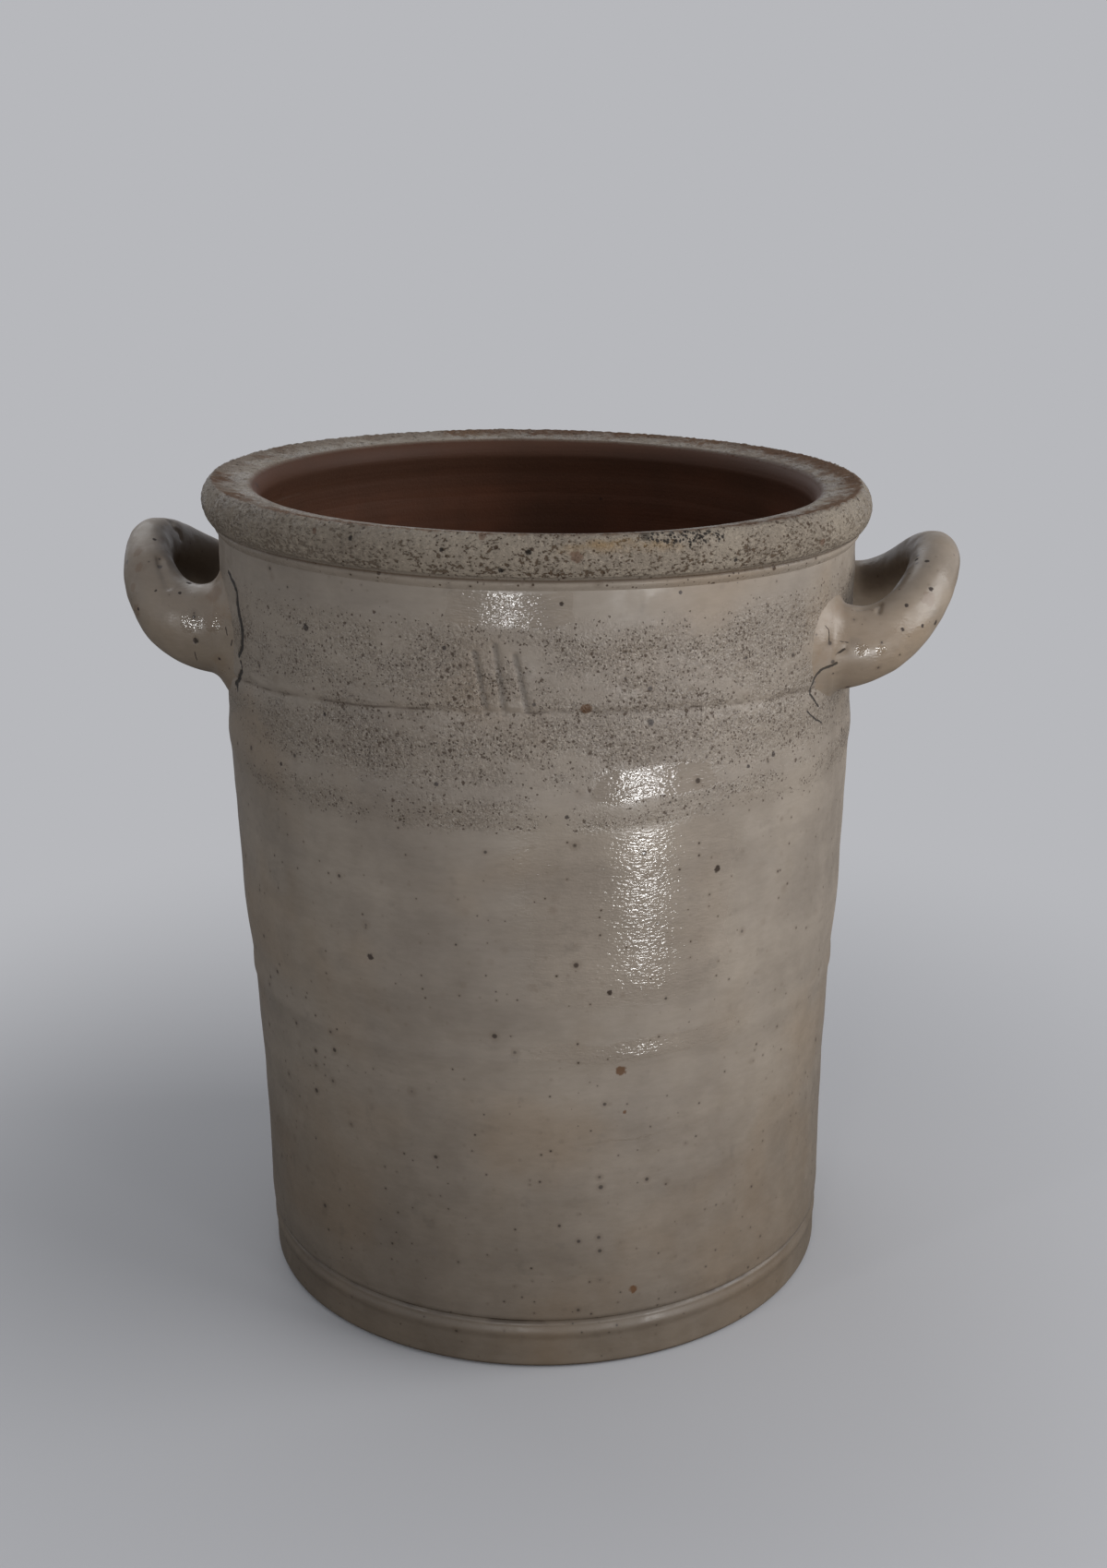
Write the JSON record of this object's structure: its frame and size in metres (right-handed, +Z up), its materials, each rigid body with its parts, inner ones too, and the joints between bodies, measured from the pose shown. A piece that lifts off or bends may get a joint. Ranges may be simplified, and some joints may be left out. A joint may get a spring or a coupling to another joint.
{
  "type": "stoneware crock",
  "caption": "Tall salt-glazed stoneware storage crock with a rolled collar round its open mouth, a beaded foot band and pulled ear handles.",
  "frame": {"origin": "centre of the flat underside, on the wall's axis", "axes": "+Z up through the mouth; the two handles stand out along -X and +X, and the mouth's plane drops 1.2 degrees towards +X; the front is -Y"},
  "size_m": [0.3721, 0.2924, 0.37],
  "materials": {
    "salt_glaze": "salt glaze over grey-beige clay, glossy with a fine speckle",
    "rim_clay": "thin dry glaze outside, bare brown clay on the top"
  },
  "bodies": {
    "root": {"floor_slab": "salt_glaze", "thrown_wall": "salt_glaze", "rim_collar": "rim_clay", "left_handle": "salt_glaze", "right_handle": "salt_glaze"}
  },
  "joints": []
}
